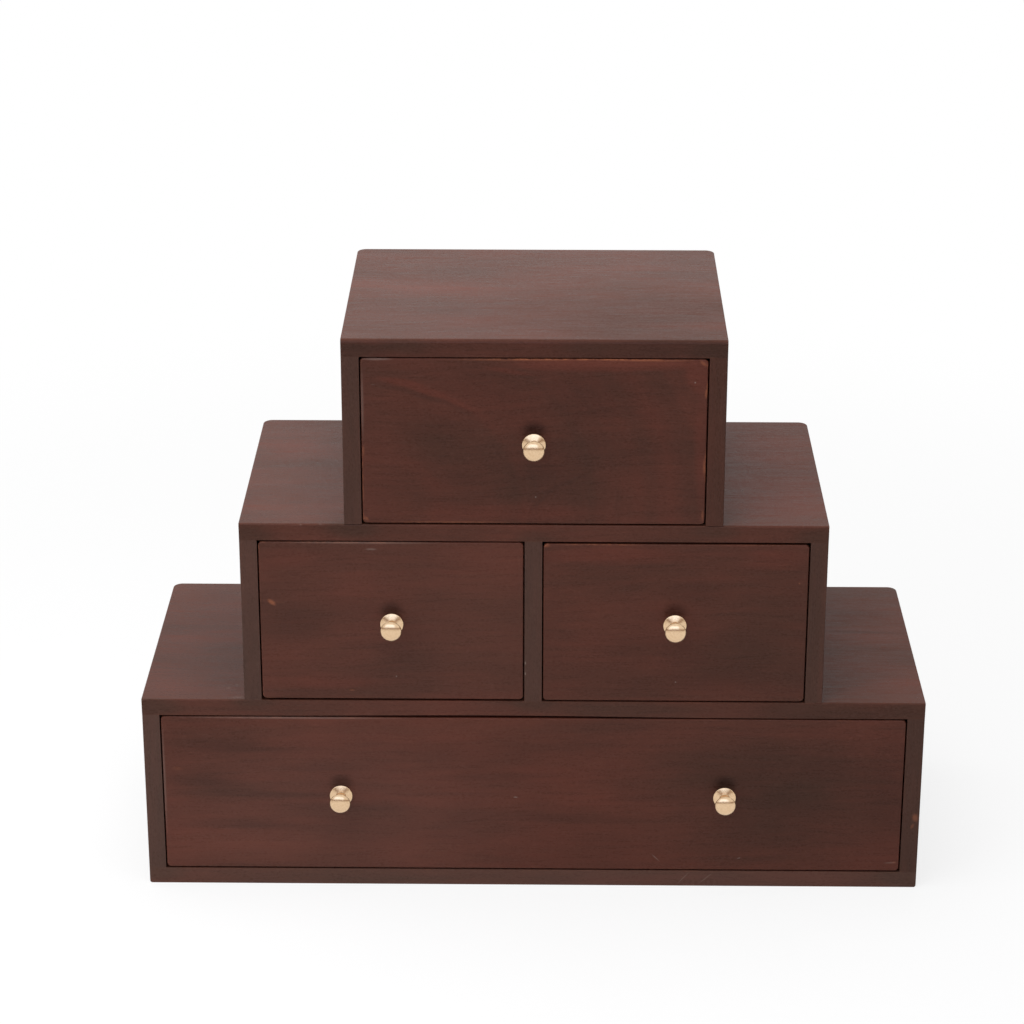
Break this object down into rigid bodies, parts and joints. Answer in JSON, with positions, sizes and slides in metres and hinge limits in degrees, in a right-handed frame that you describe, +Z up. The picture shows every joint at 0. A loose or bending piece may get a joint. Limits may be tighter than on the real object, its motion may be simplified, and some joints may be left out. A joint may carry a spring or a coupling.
{
  "type": "stepped drawer chest",
  "caption": "Stepped wooden tabletop chest whose narrowing tiers hold inset drawers with small brass knobs, for craft supplies and small parts.",
  "frame": {"origin": "centre of the base board's underside, on the surface that the chest stands on", "axes": "+X to the right as seen from the front, +Y to the back, +Z up; the drawers slide out along -Y"},
  "size_m": [0.4064, 0.1644, 0.3048],
  "materials": {
    "stained_wood": "dark red-brown stain, satin",
    "drawer_wood": "planed, unstained",
    "panel_plywood": "thin plywood, unstained",
    "satin_brass": "pale satin brass",
    "screw_steel": "zinc plated"
  },
  "bodies": {
    "carcass": {"base_board": "stained_wood", "lower_left_side": "stained_wood", "lower_right_side": "stained_wood", "lower_top_board": "stained_wood", "middle_left_side": "stained_wood", "middle_right_side": "stained_wood", "middle_top_board": "stained_wood", "upper_left_side": "stained_wood", "upper_right_side": "stained_wood", "top_board": "stained_wood", "middle_divider": "stained_wood", "lower_back_panel": "panel_plywood", "middle_back_panel": "panel_plywood", "upper_back_panel": "panel_plywood"},
    "lower_drawer": {"lower_drawer_front": "stained_wood", "lower_drawer_left_wall": "drawer_wood", "lower_drawer_right_wall": "drawer_wood", "lower_drawer_back_wall": "drawer_wood", "lower_drawer_bottom": "panel_plywood", "lower_knobs": "satin_brass", "lower_knob_screws": "screw_steel"},
    "middle_left_drawer": {"middle_left_drawer_front": "stained_wood", "middle_left_drawer_left_wall": "drawer_wood", "middle_left_drawer_right_wall": "drawer_wood", "middle_left_drawer_back_wall": "drawer_wood", "middle_left_drawer_bottom": "panel_plywood", "middle_left_knob": "satin_brass", "middle_left_knob_screw": "screw_steel"},
    "middle_right_drawer": {"middle_right_drawer_front": "stained_wood", "middle_right_drawer_left_wall": "drawer_wood", "middle_right_drawer_right_wall": "drawer_wood", "middle_right_drawer_back_wall": "drawer_wood", "middle_right_drawer_bottom": "panel_plywood", "middle_right_knob": "satin_brass", "middle_right_knob_screw": "screw_steel"},
    "upper_drawer": {"upper_drawer_front": "stained_wood", "upper_drawer_left_wall": "drawer_wood", "upper_drawer_right_wall": "drawer_wood", "upper_drawer_back_wall": "drawer_wood", "upper_drawer_bottom": "panel_plywood", "upper_knob": "satin_brass", "upper_knob_screw": "screw_steel"}
  },
  "joints": [
    {"name": "lower_drawer_slide", "type": "slide", "parent": "carcass", "child": "lower_drawer", "axis": [0, -1, 0], "range_m": [0, 0.11]},
    {"name": "middle_left_drawer_slide", "type": "slide", "parent": "carcass", "child": "middle_left_drawer", "axis": [0, -1, 0], "range_m": [0, 0.11]},
    {"name": "middle_right_drawer_slide", "type": "slide", "parent": "carcass", "child": "middle_right_drawer", "axis": [0, -1, 0], "range_m": [0, 0.11]},
    {"name": "upper_drawer_slide", "type": "slide", "parent": "carcass", "child": "upper_drawer", "axis": [0, -1, 0], "range_m": [0, 0.11]}
  ]
}
